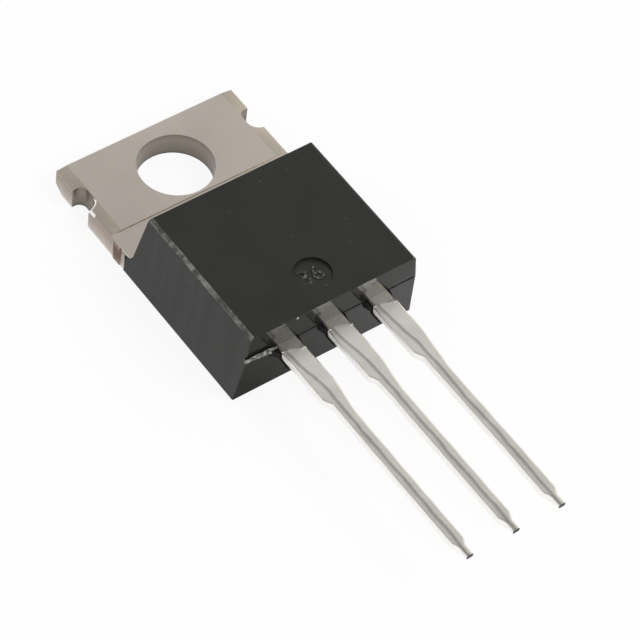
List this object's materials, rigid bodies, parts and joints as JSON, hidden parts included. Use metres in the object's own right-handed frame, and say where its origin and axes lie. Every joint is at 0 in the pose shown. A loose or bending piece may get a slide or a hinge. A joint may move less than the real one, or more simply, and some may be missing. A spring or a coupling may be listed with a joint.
{
  "type": "n-channel mosfet",
  "caption": "Through-hole power transistor: black moulded body on a drilled metal tab, with straight flat leads in a row.",
  "frame": {"origin": "centre of the mounting hole on the tab's back face", "axes": "+X across the leads from gate to source, +Y from the leads towards the tab's end, +Z from the back face to the marked face"},
  "size_m": [0.01, 0.0288, 0.0044],
  "materials": {
    "tab_metal": "satin plated copper",
    "lead_metal": "solder-dipped copper alloy, satin",
    "moulding": "fine matt moulded epoxy",
    "silicon": "polished wafer",
    "solder": "dull solder",
    "bond_wire": "drawn wire"
  },
  "bodies": {
    "root": {"drain_tab": "tab_metal", "gate_lead": "lead_metal", "source_lead": "lead_metal", "moulded_body": "moulding", "silicon_die": "silicon", "die_attach_solder": "solder", "gate_bond_wire": "bond_wire", "source_bond_wire_left": "bond_wire", "source_bond_wire_right": "bond_wire"}
  },
  "joints": []
}
